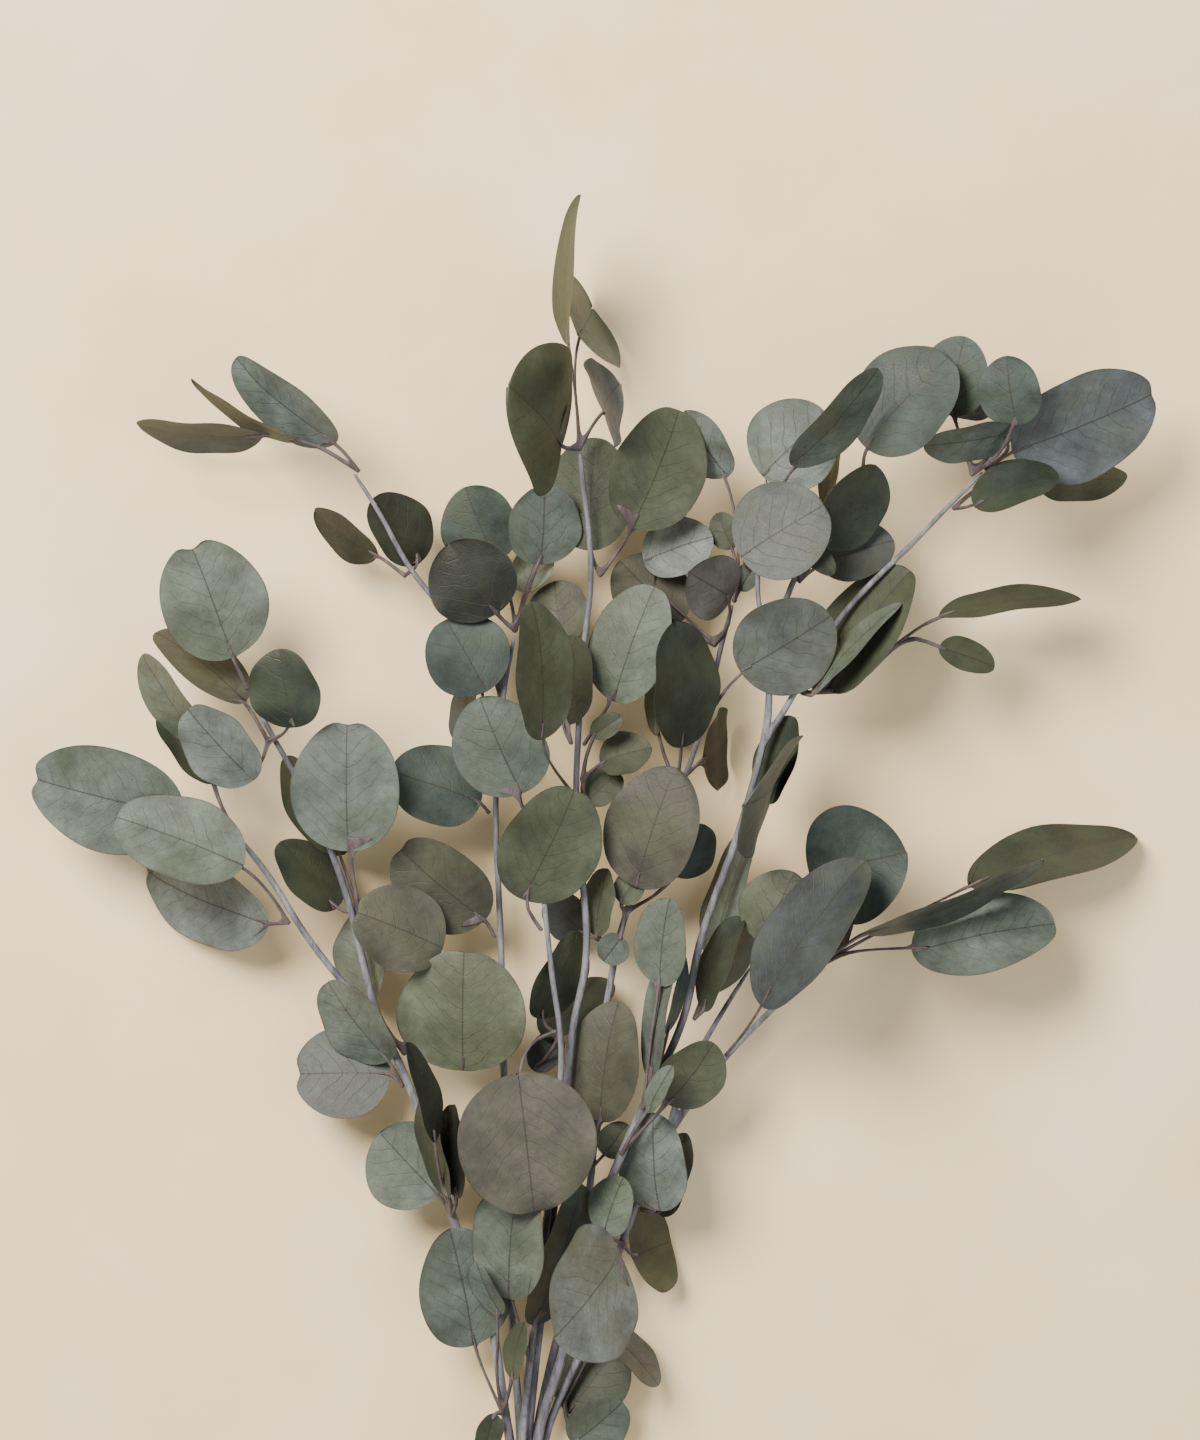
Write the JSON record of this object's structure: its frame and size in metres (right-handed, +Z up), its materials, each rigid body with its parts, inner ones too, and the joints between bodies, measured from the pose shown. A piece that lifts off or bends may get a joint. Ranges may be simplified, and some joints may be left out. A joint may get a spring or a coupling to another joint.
{
  "type": "bunch of eucalyptus branches",
  "caption": "A tied bunch of cut silver dollar eucalyptus branches with round and oval leaves, lying on its back.",
  "frame": {"origin": "the middle of the underside of the whole bunch, on the surface that it lies on", "axes": "+Y from the cut ends to the crown, +X to the right seen from above with the crown up, +Z up, out of the surface"},
  "size_m": [0.5656, 0.7222, 0.1193],
  "materials": {
    "leaf": "matt waxy grey-green leaf with fine veins and a darker rim",
    "bark": "smooth green-grey bark with a lavender bloom, paler at the knuckles",
    "twine": "plain jute twine, wound round the stems"
  },
  "bodies": {
    "root": {"leaf_centre_olive": "leaf", "leaf_crown_grey_green": "leaf", "leaf_crown_light_half": "leaf", "leaf_crown_olive": "leaf", "leaf_front_largest": "leaf", "leaf_left_inner_brown": "leaf", "leaf_left_inner_teal": "leaf", "leaf_left_top_notched": "leaf", "leaf_right_grey_round": "leaf", "leaf_right_light_round": "leaf", "leaf_right_slate": "leaf", "leaf_round_front": "leaf", "leaf_top_right_large": "leaf", "leaves_centre_back_small": "leaf", "leaves_centre_dark": "leaf", "leaves_centre_low": "leaf", "leaves_centre_tan": "leaf", "leaves_crown_back": "leaf", "leaves_crown_left_low": "leaf", "leaves_crown_left_top": "leaf", "leaves_crown_right": "leaf", "leaves_far_left_notched": "leaf", "leaves_far_right_end": "leaf", "leaves_far_right_low": "leaf", "leaves_far_right_low_twig": "leaf", "leaves_far_right_up": "leaf", "leaves_left_low_pair": "leaf", "leaves_left_middle": "leaf", "leaves_left_pair": "leaf", "leaves_left_top": "leaf", "leaves_low_left_folded": "leaf", "leaves_low_left_pair": "leaf", "leaves_neck_front": "leaf", "leaves_neck_left": "leaf", "leaves_neck_low_right": "leaf", "leaves_neck_right": "leaf", "leaves_neck_right_back": "leaf", "leaves_neck_twig": "leaf", "leaves_right_back": "leaf", "leaves_right_centre_front": "leaf", "leaves_right_fan": "leaf", "leaves_right_inner": "leaf", "leaves_right_inner_low": "leaf", "leaves_right_long_twig": "leaf", "leaves_right_narrow": "leaf", "leaves_right_slender": "leaf", "leaves_top": "leaf", "leaves_top_left_end": "leaf", "leaves_top_left_low": "leaf", "leaves_top_right_end": "leaf", "leaves_top_right_small": "leaf", "leaves_top_stem": "leaf", "stem_back": "bark", "stem_back_right": "bark", "stem_centre": "bark", "stem_front": "bark", "stem_left": "bark", "stem_right_low": "bark", "stem_right_tall": "bark", "twine_tie": "twine"}
  },
  "joints": []
}
